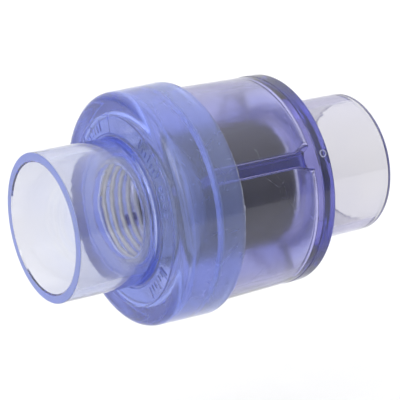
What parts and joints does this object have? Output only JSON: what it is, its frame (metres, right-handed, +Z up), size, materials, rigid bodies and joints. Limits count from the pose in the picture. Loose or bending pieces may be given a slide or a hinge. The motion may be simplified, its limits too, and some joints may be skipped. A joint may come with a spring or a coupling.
{
  "type": "check valve",
  "caption": "Clear PVC in-line spring check valve: two slip sockets, a cemented collar joint, a black guided poppet and a coil return spring.",
  "frame": {"origin": "on the bore's axis, halfway between the two socket mouths", "axes": "+X along the bore from the outlet mouth to the inlet mouth, so water flows towards -X; +Z up"},
  "size_m": [0.1728, 0.1114, 0.1114],
  "materials": {
    "clear_pvc_outlet": "clear rigid PVC with a blue-violet tint, gloss",
    "clear_pvc_inlet": "clear rigid PVC with a blue-violet tint, gloss",
    "cement": "hardened clear solvent cement, milky",
    "black_plastic": "black moulded plastic, fine dust",
    "epdm": "black moulded rubber",
    "stainless": "stainless steel",
    "spring_steel": "drawn stainless spring wire"
  },
  "bodies": {
    "valve_body": {"outlet_body": "clear_pvc_outlet", "inlet_body": "clear_pvc_inlet", "cement_bead": "cement", "return_spring": "spring_steel"},
    "poppet": {"poppet_shell": "black_plastic", "poppet_seal": "epdm", "seal_retainer": "black_plastic", "retainer_bolt": "stainless", "bolt_washer": "stainless", "nut_washer": "stainless", "lock_nut": "stainless"}
  },
  "joints": [
    {"name": "poppet_slide", "type": "slide", "parent": "valve_body", "child": "poppet", "axis": [-1, 0, 0], "range_m": [0, 0.013], "stiffness_N_per_m": 225, "springref_m": -0.036, "deforming": ["return_spring"]}
  ]
}
